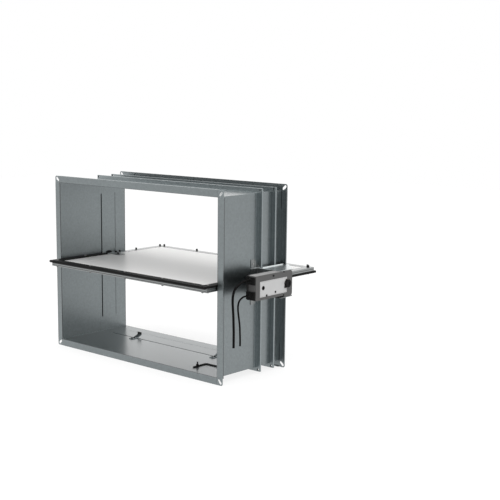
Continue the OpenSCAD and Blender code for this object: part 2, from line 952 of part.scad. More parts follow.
// The folded frame round the front half of the board
module edge_frame() {
    difference() {
        span([-blade_x, blade_x], [-blade_y, 0], [-blade_z, blade_z]);
        span([frame_sheet - blade_x, blade_x - frame_sheet], [frame_sheet - blade_y, over],
            [-board_z, board_z]);
        span([strip_w - blade_x, blade_x - strip_w], [strip_w - blade_y, over],
            [-blade_z - over, blade_z + over]);
        span([-blade_x - over, blade_x + over], [-shaft_slot, over], [-blade_z - over, blade_z + over]);
        blade_screw_holes();
        bracket_bolt_holes();
    }
}

module front_edge_frame() {
    color(galvanised) at_axis() edge_frame();
}

module rear_edge_frame() {
    color(galvanised) at_axis() turned() edge_frame();
}

// The gasket on top of the front half, with a lip turned down round the edge frame
module edge_gasket() {
    lip_z = blade_z - gasket_lip;
    lip_x = max(blade_x + fit_gap, gasket_x - gasket_lip_t);
    lip_y = max(blade_y + fit_gap, gasket_y - gasket_lip_t);
    color(black) difference() {
        span([-gasket_x, gasket_x], [-gasket_y, -bracket_half - bracket_gap], [lip_z, gasket_z]);
        span([-lip_x, lip_x], [-lip_y, over], [lip_z - over, blade_z]);
        span([gasket_w - gasket_x, gasket_x - gasket_w], [gasket_w - gasket_y, over],
            [blade_z - over, gasket_z + over]);
        blade_screw_holes();
    }
}

module front_gasket() {
    at_axis() edge_gasket();
}

module rear_gasket() {
    at_axis() turned() edge_gasket();
}

// A screw from above through the blade, its head on the face at z_head
module blade_screw(z_head, z_nut, head_d, head_h) {
    tip = z_nut - nut_h - nut_past;
    translate([0, 0, z_head]) cylinder(h = head_h, d = head_d);
    translate([0, 0, tip]) cylinder(h = z_head + over - tip, d = screw_d);
}

module front_blade_screws() {
    color(bright_zinc) at_axis() blade_screw_places() {
        blade_screw(gasket_z, -blade_z, screw_head_d, screw_head_h);
    }
}

module rear_blade_screws() {
    color(black) at_axis() mirror([0, 1, 0]) blade_screw_places() {
        blade_screw(blade_z, -gasket_z, rear_head_d, rear_head_h);
    }
}

module hex_nut(d, bore, h) {
    difference() {
        cylinder(h = h, d = d, $fn = 6);
        translate([0, 0, -over]) cylinder(h = h + 2 * over, d = bore + 2 * pin_fit);
    }
}

module blade_nuts() {
    color(bright_zinc) at_axis() {
        blade_screw_places() translate([0, 0, -blade_z - nut_h]) hex_nut(nut_d, screw_d, nut_h);
        mirror([0, 1, 0]) blade_screw_places() {
            translate([0, 0, -gasket_z - nut_h]) hex_nut(nut_d, screw_d, nut_h);
        }
        bracket_bolt_places() {
            translate([0, 0, -bracket_z - bolt_head_h]) hex_nut(bolt_head_d, bolt_d, bolt_head_h);
        }
    }
}

// Upper and lower plates that clamp a half shaft to the board's right edge
module shaft_bracket() {
    rim = blade_x - strip_w;
    color(galvanised) at_axis() over_and_under() difference() {
        union() {
            span([rim, blade_x], [-bracket_half, bracket_half], [blade_z, bracket_z]);
            span([blade_x - shaft_in - 2 * bracket_t, rim + over], [-bracket_neck, bracket_neck],
                [blade_z, bracket_z]);
            span([blade_x - shaft_in - 2 * bracket_t, rim - fit_gap], [-bracket_neck, bracket_neck],
                [board_z, bracket_z]);
        }
        bracket_bolt_holes();
    }
}

module right_shaft_bracket() {
    shaft_bracket();
}

module left_shaft_bracket() {
    mirror([1, 0, 0]) shaft_bracket();
}

module bracket_bolts() {
    color(black) at_axis() bracket_bolt_places() {
        translate([0, 0, bracket_z]) cylinder(h = bolt_head_h, d = bolt_head_d, $fn = 6);
        translate([0, 0, -bracket_z - bolt_head_h - nut_past]) {
            cylinder(h = 2 * bracket_z + bolt_head_h + nut_past + over, d = bolt_d);
        }
    }
}

module idle_shaft() {
    color(bright_zinc) at_axis() mirror([1, 0, 0]) difference() {
        rod_x_way(shaft_d, blade_x - shaft_in, bush_end - end_wall - seat_gap);
        translate([shaft_bolt_x, 0, 0]) {
            cylinder(h = shaft_d + 2 * over, d = bolt_d + 2 * pin_fit, center = true);
        }
    }
}

module drive_shaft() {
    s = shaft_square / 2;
    color(bright_zinc) at_axis() difference() {
        union() {
            rod_x_way(shaft_d, blade_x - shaft_in, tray_x);
            span([tray_x - over, act_x1 + journal_proud + pointer_t / 2], [-s, s], [-s, s]);
        }
        translate([shaft_bolt_x, 0, 0]) {
            cylinder(h = shaft_d + 2 * over, d = bolt_d + 2 * pin_fit, center = true);
        }
    }
}

// Actuator housing

// Outline of the housing in Y and Z, drawn in by a wall
module act_outline(inset) {
    difference() {
        union() {
            soft_rect([body_y0 + inset, end_y0 + end_r], [body_z0 + inset, end_z1 - inset],
                body_r - inset / 2);
            soft_rect([end_y0 + inset, end_y1 - inset], [end_z0 + inset, end_z1 - inset], end_r - inset);
            // Square the end block's front corners
            translate([end_y0 + inset, end_z0 + inset]) square([end_r, end_z1 - end_z0 - 2 * inset]);
        }
        translate([notch_y0 - inset, end_z1 - notch_top_d - inset]) {
            square([notch_w + 2 * inset, body_h]);
        }
        translate([notch_y0 - inset, body_z0 + notch_d + inset - body_h]) {
            square([notch_w + 2 * inset, body_h]);
        }
    }
}

// Openings in the front end wall for the necks of the cable blocks
module cable_openings(gap) {
    for (b = [[block_a_z, block_a_h], [block_b_z, block_b_h]]) {
        w = cable_block_w / 2 - block_neck + gap;
        h = b[1] / 2 - block_neck + gap;
        span([cable_x - w, cable_x + w], [body_y0 - over, body_y0 + act_wall + over],
            [b[0] - h, b[0] + h]);
    }
}

module at_screw(place) {
    translate([0, axis_y + place[0], place[1]]) children();
}

module actuator_base() {
    color(black) difference() {
        union() {
            difference() {
                along_x(web_x, tray_depth) act_outline(0);
                along_x(tray_x, tray_depth) act_outline(act_wall);
                cable_openings(fit_gap);
            }
            for (p = [pillar_a, pillar_b]) at_screw(p) {
                rod_x_way(pillar_d, tray_x - over, cover_x);
            }
        }
        at_axis() rod_x_way(shaft_d + 2 * seat_gap, web_x - over, tray_x + over);
        web_screw_places() rod_x_way(web_screw_d + 2 * pin_fit, web_x - over, tray_x + over);
        for (p = [pillar_a, pillar_b]) at_screw(p) {
            rod_x_way(case_screw_d + 2 * pin_fit, cover_x - short_screw_len - over, cover_x + over);
        }
        for (y = [gear_a_y, gear_b_y, override_y]) translate([0, y, 0]) {
            rod_x_way(pin_d + 2 * pin_fit, web_x - over, tray_x + over);
        }
    }
}

module actuator_cover() {
    color([0.50, 0.50, 0.50]) difference() {
        union() {
            difference() {
                along_x(split_x, act_x1 - split_x) act_outline(0);
                along_x(split_x - over, cover_x - split_x + over) act_outline(act_wall);
                cable_openings(fit_gap);
            }
            // The boss of the short screw
            at_screw(boss_c) rod_x_way(pillar_d, cover_x - short_screw_len / 2, act_x1);
        }
        at_axis() rod_x_way(journal_d + 2 * seat_gap, cover_x - over, act_x1 + over);
        translate([0, override_y, 0]) {
            rod_x_way(socket_d + 2 * seat_gap, cover_x - over, act_x1 + over);
        }
        for (p = [pillar_a, pillar_b, boss_c]) at_screw(p) {
            rod_x_way(case_screw_d + 2 * pin_fit, cover_x - short_screw_len, act_x1 + over);
        }
    }
}

module label_plate() {
    screw_hole = case_head_d + 2 * hole_gap;
    color([0.86, 0.87, 0.88]) difference() {
        span([act_x1, act_x1 + label_t], [label_y0, label_y0 + label_len], [label_z0, label_z0 + label_h]);
        at_axis() rod_x_way(pointer_d + 2 * label_hub_gap, act_x1 - over, act_x1 + label_t + over);
        translate([0, override_y, 0]) {
            rod_x_way(socket_d + 2 * hole_gap, act_x1 - over, act_x1 + label_t + over);
        }
        for (p = [pillar_b, boss_c]) at_screw(p) {
            rod_x_way(screw_hole, act_x1 - over, act_x1 + label_t + over);
        }
    }
}

module actuator_screws() {
    color(black) for (p = [pillar_a, pillar_b, boss_c]) at_screw(p) {
        rod_x_way(case_head_d, act_x1, act_x1 + case_head_h);
        rod_x_way(case_screw_d, cover_x - short_screw_len / 2, act_x1 + case_head_h);
    }
}

// Gears

function involute(a) = tan(a) * 180 / PI - a;

// Half of a tooth's angle at radius r
function half_tooth(teeth, r) =
    let (base = pitch_r(teeth) * cos(pressure), a = acos(min(1, base / r)))
    (PI * gear_m / 2 - backlash) / 2 / pitch_r(teeth) * 180 / PI + involute(pressure) - involute(a);

// Radii at which a flank is drawn, from root to tip
function flank(teeth) =
    let (p = pitch_r(teeth), base = p * cos(pressure), root = p - dedendum_share * gear_m,
        tip = p + addendum_share * gear_m, low = max(base, root + 0.1 * gear_m))
    concat([root], [for (i = [0 : flank_steps]) low + (tip - low) * i / flank_steps]);

function polar(r, a) = [r * cos(a), r * sin(a)];

// The points of the teeth numbered from first to last, the zeroth at angle phase
function tooth_points(teeth, phase, first, last) = [
    for (i = [first : last], s = [-1, 1])
        let (radii = flank(teeth), n = len(radii))
        for (k = [0 : n - 1])
            let (r = s < 0 ? radii[k] : radii[n - 1 - k])
            polar(r, phase + i * 360 / teeth + s * half_tooth(teeth, r))
];

module gear_wheel(teeth, phase) {
    polygon(tooth_points(teeth, phase, 0, teeth - 1));
}

// The toothed part of the output gear, from its axis to its tips
module gear_sector(teeth, phase, from, to) {
    first = ceil((from - phase) * teeth / 360);
    last = floor((to - phase) * teeth / 360);
    polygon(concat([[0, 0]], tooth_points(teeth, phase, first, last)));
}

module output_gear() {
    s = shaft_square / 2 + pin_fit;
    color([0.62, 0.58, 0.48]) at_axis() difference() {
        union() {
            along_x(output_x, output_w) gear_sector(output_teeth, output_phase, sector_from, sector_to);
            rod_x_way(hub_d, output_x, cover_x - seat_gap);
            rod_x_way(journal_d, output_x, act_x1 + journal_proud);
        }
        span([output_x - over, act_x1 + 2 * over], [-s, s], [-s, s]);
    }
}

// The pointer on the shaft's end, shaped as a disc with a pointed tab
module position_pointer() {
    s = shaft_square / 2 + pin_fit;
    x0 = act_x1 + journal_proud;
    tab = pointer_d / 4;
    color(black) at_axis() difference() {
        union() {
            rod_x_way(pointer_d, x0, x0 + pointer_t);
            along_x(x0, pointer_t / 2) rotate(pointer_angle) polygon([
                [0, -1.6 * tab], [pointer_reach - tab / 2, -tab / 2], [pointer_reach, 0],
                [pointer_reach - tab / 2, tab / 2], [0, 1.6 * tab]
            ]);
        }
        span([x0 - over, x0 + pointer_t / 2], [-s, s], [-s, s]);
        rod_x_way(pointer_d / 2, x0 + 0.75 * pointer_t, x0 + pointer_t + over);
    }
}

// Pins that carry the inner gears, fixed in the tray
module gear_pins() {
    color(bright_zinc) {
        for (y = [gear_a_y, gear_b_y]) translate([0, y, 0]) {
            rod_x_way(pin_d, web_x, cover_x - seat_gap);
        }
        translate([0, override_y, 0]) rod_x_way(pin_d, web_x, gear_a_x + gear_a_w - seat_gap);
    }
}

module pin_bore(x0, x1) {
    rod_x_way(pin_d + 2 * running_gap, x0, x1);
}

module gear_a() {
    color([0.80, 0.78, 0.70]) translate([0, gear_a_y, 0]) difference() {
        union() {
            rod_x_way(hub_small_d, tray_x + seat_gap, gear_a_x);
            along_x(gear_a_x, gear_a_w) gear_wheel(gear_a_teeth, gear_a_phase);
            along_x(gear_a_x + gear_a_w, gear_b_w + gear_gap) gear_wheel(pinion_teeth, gear_a_phase);
        }
        pin_bore(tray_x, cover_x);
    }
}

module gear_b() {
    color([0.62, 0.58, 0.48]) translate([0, gear_b_y, 0]) difference() {
        union() {
            rod_x_way(hub_small_d, tray_x + seat_gap, gear_b_x);
            along_x(gear_b_x, gear_b_w) gear_wheel(gear_b_teeth, gear_b_phase);
            along_x(gear_b_x + gear_b_w, gear_gap + output_w) gear_wheel(pinion_teeth, gear_b_phase);
        }
        pin_bore(tray_x, cover_x);
    }
}

// The hand override: a gear below and a hexagon socket in the cover
module override_gear() {
    face = act_x1 + socket_proud;
    color(black) translate([0, override_y, 0]) difference() {
        union() {
            along_x(gear_a_x, gear_a_w) gear_wheel(override_teeth, override_phase);
            rod_x_way(hub_small_d, gear_a_x, face);
            rod_x_way(socket_d, face - socket_len, face);
        }
        rod_x_way(pin_d + 2 * running_gap, gear_a_x - over, gear_a_x + gear_a_w);
        translate([face - socket_len / 2, 0, 0]) rotate([0, 90, 0]) {
            cylinder(h = socket_len, d = hex_d, $fn = 6);
        }
    }
}

module motor() {
    color([0.55, 0.56, 0.58]) translate([0, motor_y, motor_z]) difference() {
        rod_x_way(motor_d, motor_x, cover_x);
        rod_x_way(motor_shaft_d + 2 * running_gap, motor_x - over, motor_x + motor_shaft_len + over);
    }
}

module motor_pinion() {
    color([0.80, 0.78, 0.70]) translate([0, motor_y, motor_z]) {
        along_x(gear_a_x, gear_a_w) gear_wheel(pinion_teeth, motor_phase);
        rod_x_way(motor_shaft_d, gear_a_x, motor_x + motor_shaft_len);
    }
}

// The circuit board across the housing's front end, with a terminal for each cable
module circuit_board() {
    y0 = body_y0 + act_wall + board_in;
    side = act_wall + pcb_side;
    color([0.10, 0.35, 0.20]) {
        span([tray_x, cover_x], [y0, y0 + pcb_t], [body_z0 + side, end_z1 - side]);
        for (z = [block_a_z, block_b_z]) {
            span([cable_x - terminal_w / 2, cable_x + terminal_w / 2], [y0 - terminal_t, y0],
                [z - terminal_h / 2, z + terminal_h / 2]);
        }
    }
}

// Cables

module cable_block(z, h) {
    w = cable_block_w / 2;
    color(black) {
        span([cable_x - w, cable_x + w], [body_y0 - cable_block_t, body_y0], [z - h / 2, z + h / 2]);
        span([cable_x - w + block_neck, cable_x + w - block_neck], [body_y0 - over, body_y0 + act_wall],
            [z - h / 2 + block_neck, z + h / 2 - block_neck]);
    }
}

module upper_cable_block() {
    cable_block(block_a_z, block_a_h);
}

module lower_cable_block() {
    cable_block(block_b_z, block_b_h);
}

// A tapered gland on a block's face, down to its cable's end
module gland(z, len, cable_d) {
    translate([cable_x, body_y0 - cable_block_t, z]) rotate([90, 0, 0]) {
        cylinder(h = len, d1 = gland_d, d2 = cable_d + gland_rim);
    }
}

module cable_glands() {
    color(black) {
        gland(gland_a_z, gland_a_len, cable_a_d);
        gland(gland_b_z, gland_b_len, cable_b_d);
    }
}

function unit(v) = v / norm(v);
function across(v) = [v[1], -v[0]];

// The direction of a route at point i
function way(route, i) = unit(route[min(i + 1, len(route) - 1)] - route[max(i - 1, 0)]);

// A tube along a route that lies in the plane X = cable_x
module cable(route, d) {
    n = len(route);
    s = cable_sides;
    points = [
        for (i = [0 : n - 1], k = [0 : s - 1])
            let (side = across(way(route, i)) * cos(360 * k / s) * d / 2)
            [cable_x + sin(360 * k / s) * d / 2, route[i][0] + side[0], route[i][1] + side[1]]
    ];
    walls = [
        for (i = [0 : n - 2], k = [0 : s - 1])
            let (a = i * s + k, b = i * s + (k + 1) % s)
            each [[a, b, b + s], [a, b + s, a + s]]
    ];
    ends = [[for (k = [s - 1 : -1 : 0]) k], [for (k = [0 : s - 1]) (n - 1) * s + k]];
    polyhedron(points, concat(walls, ends));
}

module upper_cable() {
    color(black) cable(cable_a_route, cable_a_d);
}

module lower_cable() {
    color(black) cable(cable_b_route, cable_b_d);
}

front_section();
rear_section();
front_rib();
rear_rib();
rib_seals();
front_flange_corners();
rear_flange_corners();
left_bearing();
right_bearing();
bearing_rings();
floor_stops();
upper_stops();
stop_screws();
floor_rod();
rod_post();
console();
console_rivets();
console_screws();
blade_board();
front_edge_frame();
rear_edge_frame();
front_gasket();
rear_gasket();
front_blade_screws();
rear_blade_screws();
blade_nuts();
left_shaft_bracket();
right_shaft_bracket();
bracket_bolts();
idle_shaft();
drive_shaft();
output_gear();
position_pointer();
actuator_base();
actuator_cover();
label_plate();
actuator_screws();
gear_pins();
gear_a();
gear_b();
override_gear();
motor();
motor_pinion();
circuit_board();
upper_cable_block();
lower_cable_block();
cable_glands();
upper_cable();
lower_cable();
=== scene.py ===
"""The looks of a smoke exhaust damper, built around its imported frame. Units are metres.

X runs across the duct, Y along it from front to rear, and Z up. The origin is on the
duct's centreline at the front face of the first rib.
"""

import json
import math

import bmesh
import bpy
from mathutils import Matrix, Vector


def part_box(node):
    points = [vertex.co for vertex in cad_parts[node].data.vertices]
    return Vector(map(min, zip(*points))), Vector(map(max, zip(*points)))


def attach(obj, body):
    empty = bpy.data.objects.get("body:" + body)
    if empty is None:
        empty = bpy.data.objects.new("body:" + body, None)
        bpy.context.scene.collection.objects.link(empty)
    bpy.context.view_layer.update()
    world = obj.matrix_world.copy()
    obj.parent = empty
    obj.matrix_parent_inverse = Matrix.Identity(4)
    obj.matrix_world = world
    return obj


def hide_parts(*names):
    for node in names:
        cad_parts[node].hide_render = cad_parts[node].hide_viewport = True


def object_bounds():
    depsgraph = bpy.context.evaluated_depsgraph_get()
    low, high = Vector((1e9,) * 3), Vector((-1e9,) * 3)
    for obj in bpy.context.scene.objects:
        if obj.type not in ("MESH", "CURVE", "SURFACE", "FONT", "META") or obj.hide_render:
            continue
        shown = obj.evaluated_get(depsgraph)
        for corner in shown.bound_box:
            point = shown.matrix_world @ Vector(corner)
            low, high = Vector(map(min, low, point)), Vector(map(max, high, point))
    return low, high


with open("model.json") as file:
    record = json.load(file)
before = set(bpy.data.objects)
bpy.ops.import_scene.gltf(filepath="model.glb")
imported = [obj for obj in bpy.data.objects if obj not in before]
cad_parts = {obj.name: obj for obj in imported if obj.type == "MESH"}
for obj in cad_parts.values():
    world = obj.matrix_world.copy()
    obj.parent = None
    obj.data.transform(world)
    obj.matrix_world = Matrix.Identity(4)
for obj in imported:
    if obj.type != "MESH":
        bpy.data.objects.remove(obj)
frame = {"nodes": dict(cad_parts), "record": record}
cad_low, cad_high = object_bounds()
nodes = frame["nodes"]
record = frame["record"]

MM = 0.001
X, Y, Z = 0, 1, 2

# Camera, from the fit to the casing's corners: its place, and where it looks, in degrees
CAMERA_PLACE = Vector((2.6453, -2.6762, 0.6301))
CAMERA_HEADING = -42.64
CAMERA_PITCH = -9.20
CAMERA_ROLL = 0.26
CAMERA_SHIFT = (0.080, 0.024)
CAMERA_CLIP = (0.05, 50)
CAMERA_FOCAL_PX = 1038.1
IMAGE_PX = 500
SENSOR_MM = 36.0

# Lamps, each a disk that faces the origin: place, diameter and watts
LAMPS = {
    "top": ((0.8, 0.0, 3.1), 2.6, 50),
    "key": ((1.6, -2.6, 3.2), 2.4, 15),
    "fill": ((-2.8, -1.6, 1.8), 2.4, 8),
}

FLOOR_GAP = 0.0002
FLOOR_SIZE = 14.0

# The floor's grey for light, and the grey and the glow that are seen of it
FLOOR_GREY = 0.6
FLOOR_SHADE = 0.2
FLOOR_GLOW = 0.82

# The casing's two ends, and the outer faces of its side and top walls
FRONT_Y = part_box("front_section")[0][Y]
REAR_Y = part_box("rear_section")[1][Y]
WALL_X = 0.4015
WALL_Z = 0.3015

# How far a flange stands out, the depth of its lip, and the sheet's thickness
FLANGE = 0.025
LIP = 0.006
SHEET = 0.0015

# The top of the actuator's cover, and the height of the lip on the console's upper plate
COVER_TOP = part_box("actuator_cover")[1][Z]
CONSOLE_LIP = 0.0035

# Where a stop's black pad gives way to its zinc strip, from the duct's centreline
STOP_KNEE_Z = 0.2885

# How far in the label's plain border lies, and half the width of its line
LABEL_BORDER = 0.0025
LABEL_LINE = 0.0003

# Heights of the two seams on the blade's frame, with the blade open
FRAME_SEAM_UPPER = 0.0015
FRAME_SEAM_LOWER = -0.0045


# Camera and light

def make_camera():
    bpy.context.scene.view_settings.view_transform = "Standard"
    heading = math.radians(CAMERA_HEADING)
    pitch = math.radians(CAMERA_PITCH)
    forward = Vector((
        math.sin(heading) * math.cos(pitch),
        math.cos(heading) * math.cos(pitch),
        math.sin(pitch),
    ))
    data = bpy.data.cameras.new("camera")
    data.sensor_width = SENSOR_MM
    data.lens = CAMERA_FOCAL_PX / IMAGE_PX * SENSOR_MM
    data.shift_x, data.shift_y = CAMERA_SHIFT
    data.clip_start, data.clip_end = CAMERA_CLIP
    camera = bpy.data.objects.new("camera", data)
    bpy.context.scene.collection.objects.link(camera)
    look = forward.to_track_quat("-Z", "Y")
    roll = Matrix.Rotation(math.radians(-CAMERA_ROLL), 4, forward)
    camera.matrix_world = Matrix.Translation(CAMERA_PLACE) @ roll @ look.to_matrix().to_4x4()
    bpy.context.scene.camera = camera


def make_lamp(name, place, diameter, watts):
    data = bpy.data.lights.new(name, "AREA")
    data.shape = "DISK"
    data.size = diameter
    data.energy = watts
    lamp = bpy.data.objects.new(name, data)
    bpy.context.scene.collection.objects.link(lamp)
    lamp.location = place
    lamp.rotation_mode = "QUATERNION"
    lamp.rotation_quaternion = (-Vector(place)).to_track_quat("-Z", "Y")


def make_world():
    """A white world, which is also the background."""
    world = bpy.data.worlds.new("studio")
    world.use_nodes = True
    tree = world.node_tree
    tree.nodes.clear()
    out = tree.nodes.new("ShaderNodeOutputWorld")
    white = tree.nodes.new("ShaderNodeBackground")
    white.inputs["Color"].default_value = (1, 1, 1, 1)
    white.inputs["Strength"].default_value = 1.0
    tree.links.new(white.outputs[0], out.inputs[0])
    bpy.context.scene.world = world


def make_floor():
    """A floor that is seen almost white, with the object's shadow, and gives grey light."""
    mesh = bpy.data.meshes.new("floor")
    h = FLOOR_SIZE / 2
    mesh.from_pydata([(-h, -h, 0), (h, -h, 0), (h, h, 0), (-h, h, 0)], [], [(0, 1, 2, 3)])
    floor = bpy.data.objects.new("floor", mesh)
    bpy.context.scene.collection.objects.link(floor)
    floor.location = (0, 0, cad_low.z - FLOOR_GAP)
    mat = bpy.data.materials.new("pale_floor")
    mat.use_nodes = True
    tree = mat.node_tree
    tree.nodes.clear()
    add, link = tree.nodes.new, tree.links.new

    # 1 for the rays of the camera, of glass and of mirrors, and 0 for light
    path = add("ShaderNodeLightPath")
    direct, seen = add("ShaderNodeMath"), add("ShaderNodeMath")
    direct.operation = seen.operation = "MAXIMUM"
    link(path.outputs["Is Camera Ray"], direct.inputs[0])
    link(path.outputs["Is Transmission Ray"], direct.inputs[1])
    link(direct.outputs[0], seen.inputs[0])
    link(path.outputs["Is Glossy Ray"], seen.inputs[1])

    plain, shade = add("ShaderNodeBsdfDiffuse"), add("ShaderNodeBsdfDiffuse")
    plain.inputs["Color"].default_value = (*grey(FLOOR_GREY), 1)
    shade.inputs["Color"].default_value = (*grey(FLOOR_SHADE), 1)
    glow = add("ShaderNodeEmission")
    glow.inputs["Color"].default_value = (1, 1, 1, 1)
    glow.inputs["Strength"].default_value = FLOOR_GLOW
    total, pick = add("ShaderNodeAddShader"), add("ShaderNodeMixShader")
    link(shade.outputs[0], total.inputs[0])
    link(glow.outputs[0], total.inputs[1])
    link(seen.outputs[0], pick.inputs[0])
    link(plain.outputs[0], pick.inputs[1])
    link(total.outputs[0], pick.inputs[2])
    link(pick.outputs[0], add("ShaderNodeOutputMaterial").inputs[0])
    mesh.materials.append(mat)


# Shader nodes

# Casts that a grey is multiplied by
NEUTRAL = (1.0, 1.0, 1.0)
ZINC = (0.872, 1.0, 1.032)
PALE_ZINC = (0.95, 1.0, 1.0)
PLATING = (1.0, 0.995, 0.97)
YELLOW_METAL = (1.0, 0.94, 0.82)
WARM_GREY = (1.0, 0.985, 0.975)
IVORY = (1.0, 0.97, 0.9)

# Half the width of a line of painted shade on the sheet, and how strongly a painted line or band
# shows
SHADE_LINE_HALF_WIDTH = 0.0012
PAINTED_MARK_DEPTH = 0.9

# Slack around the casing's walls, for its corners and for what lies in or out of the duct
CORNER_REACH = 0.0006

# How far a rounded normal turns from its face's own along an edge, as 1 less the cosine,
# where the mark starts and where it is full: rubbing on small pieces, and painted edge highlight
# and shade on sheet
PIECE_EDGE = (0.02, 0.22)
SHEET_EDGE = (0.01, 0.16)

# The height of a normal from which an edge gets its painted highlight, or a face its painted top
# light, and where it is full
HIGHLIGHT_RISE = (0.25, 0.6)
TOP_LIGHT_RISE = (0.5, 1.0)

# Sockets of a Mix node that is set to colour
MIX_A, MIX_B, MIX_RESULT = 6, 7, 2


def grey(value, cast=NEUTRAL):
    return tuple(value * c for c in cast)


def shades(value, dark, light, cast=NEUTRAL):
    """The darkest and the lightest grey of a surface, as shares of its value."""
    return grey(value * dark, cast), grey(value * light, cast)


class Shader:
    """A principled material with the few nodes that every surface here uses."""

    def __init__(self, name):
        self.mat = bpy.data.materials.new(name)
        self.mat.use_nodes = True
        self.mat.node_tree.nodes.clear()
        self.bsdf = self.add("ShaderNodeBsdfPrincipled")
        self.link(self.bsdf.outputs[0], self.add("ShaderNodeOutputMaterial").inputs["Surface"])
        self.coords = self.add("ShaderNodeTexCoord").outputs["Object"]

    def add(self, kind):
        return self.mat.node_tree.nodes.new(kind)

    def link(self, a, b):
        self.mat.node_tree.links.new(a, b)

    def fixed(self, **values):
        """Sets plain numbers on the shader's own sockets."""
        for name, value in values.items():
            self.bsdf.inputs[name.replace("_", " ")].default_value = value

    def colour(self, socket):
        self.link(socket, self.bsdf.inputs["Base Color"])

    def rough(self, low, high, *values):
        """Sets the roughness, from low to high by the mean of values from 0 to 1."""
        total = values[0]
        for value in values[1:]:
            total = self.math("ADD", total, value)
        spread = self.span(total, low, high, 0.0, len(values))
        self.link(spread, self.bsdf.inputs["Roughness"])

    def bump(self, height, strength, distance, radius=0.0):
        """Sets the surface's relief, and rounds its shading at edges within the radius."""
        node = self.add("ShaderNodeBump")
        node.inputs["Strength"].default_value = strength
        node.inputs["Distance"].default_value = distance
        self.link(height, node.inputs["Height"])
        if radius:
            self.link(self.rounded(radius), node.inputs["Normal"])
        self.link(node.outputs[0], self.bsdf.inputs["Normal"])

    def noise(self, scale, detail, roughness=0.55, stretch=None):
        source = self.coords
        if stretch:
            mapping = self.add("ShaderNodeMapping")
            mapping.inputs["Scale"].default_value = stretch
            self.link(source, mapping.inputs[0])
            source = mapping.outputs[0]
        node = self.add("ShaderNodeTexNoise")
        node.inputs["Scale"].default_value = scale
        node.inputs["Detail"].default_value = detail
        node.inputs["Roughness"].default_value = roughness
        self.link(source, node.inputs["Vector"])
        return node.outputs["Fac"]

    def cells(self, scale):
        """A value from 0 to 1 for each cell of a spangle."""
        node = self.add("ShaderNodeTexVoronoi")
        node.inputs["Scale"].default_value = scale
        self.link(self.coords, node.inputs["Vector"])
        parts = self.add("ShaderNodeSeparateColor")
        self.link(node.outputs["Color"], parts.inputs[0])
        return parts.outputs[0]

    def span(self, value, low, high, from_low=0.0, from_high=1.0):
        node = self.add("ShaderNodeMapRange")
        self.link(value, node.inputs["Value"])
        node.inputs["From Min"].default_value = from_low
        node.inputs["From Max"].default_value = from_high
        node.inputs["To Min"].default_value = low
        node.inputs["To Max"].default_value = high
        return node.outputs[0]

    def math(self, kind, *values):
        node = self.add("ShaderNodeMath")
        node.operation = kind
        for i, x in enumerate(values):
            if isinstance(x, (int, float)):
                node.inputs[i].default_value = x
            else:
                self.link(x, node.inputs[i])
        return node.outputs[0]

    def blend(self, a, b, share):
        """The mean of two values, in which the second has the given share."""
        first = self.math("MULTIPLY", a, 1 - share)
        return self.math("ADD", first, self.math("MULTIPLY", b, share))

    def mix(self, factor, a, b):
        """From colour a at 0 to colour b at 1, each a plain colour or another node's."""
        node = self.add("ShaderNodeMix")
        node.data_type = "RGBA"
        self.link(factor, node.inputs["Factor"])
        for i, colour in ((MIX_A, a), (MIX_B, b)):
            if isinstance(colour, tuple):
                node.inputs[i].default_value = (*colour, 1)
            else:
                self.link(colour, node.inputs[i])
        return node.outputs[MIX_RESULT]

    def over(self, below, colour, factor, share):
        """Paints a plain colour over another where the factor is 1, by a share."""
        return self.mix(self.math("MULTIPLY", factor, share), below, colour)

    def place(self, axis):
        """How far a point lies along an axis of the object."""
        parts = self.add("ShaderNodeSeparateXYZ")
        self.link(self.coords, parts.inputs[0])
        return parts.outputs[axis]

    def near(self, axis, place, reach):
        """1 within reach of a place along an axis, and 0 elsewhere."""
        return self.math("COMPARE", self.place(axis), place, reach)

    def off(self, axis, place):
        """How far a point is from a place along an axis, on either side."""
        return self.math("ABSOLUTE", self.math("SUBTRACT", self.place(axis), place))

    def past(self, x, z):
        """1 where a point lies outside the frame |X| = x, |Z| = z, and 0 inside it."""
        across = self.math("GREATER_THAN", self.math("ABSOLUTE", self.place(X)), x)
        up = self.math("GREATER_THAN", self.math("ABSOLUTE", self.place(Z)), z)
        return self.math("MAXIMUM", across, up)

    def rise(self, normal, low, high):
        """0 where a normal's height is low, up to 1 where it is high."""
        parts = self.add("ShaderNodeSeparateXYZ")
        self.link(normal, parts.inputs[0])
        return self.span(parts.outputs[Z], 0.0, 1.0, low, high)

    def rounded(self, radius, samples=4):
        """The normal that the surface would have with its edges rounded."""
        bevel = self.add("ShaderNodeBevel")
        bevel.samples = samples
        bevel.inputs["Radius"].default_value = radius
        return bevel.outputs[0]

    def turn(self, normal, low, high):
        """1 where a rounded normal leaves the face's own, at edges, and 0 on faces."""
        dot = self.add("ShaderNodeVectorMath")
        dot.operation = "DOT_PRODUCT"
        self.link(normal, dot.inputs[0])
        self.link(self.add("ShaderNodeNewGeometry").outputs["True Normal"], dot.inputs[1])
        away = self.math("SUBTRACT", 1.0, dot.outputs["Value"])
        return self.span(away, 0.0, 1.0, low, high)

    def edges(self, radius):
        """1 along a small piece's sharp edges, within the radius, and 0 on its faces."""
        return self.turn(self.rounded(radius), *PIECE_EDGE)


# Materials

# Zinc sheet: how much its spangle varies, the radius of its edges and how strongly their painted
# highlight and shade show
SPANGLE_DEPTH = 0.13
EDGE_RADIUS = 0.0013
EDGE_LIGHT_DEPTH = 0.6

# Tones of its painted shade on edges, its painted highlight on upper edges and its lines of
# painted shade, as shares of its own, and of a band of painted highlight
EDGE_SHADE_TONE = 0.25
EDGE_HIGHLIGHT_TONE = 3.5
SHADE_LINE_TONE = 0.1
HIGHLIGHT_BAND_TONE = 0.9

# How strongly the edges of a small piece are rubbed
RUB_DEPTH = 0.5


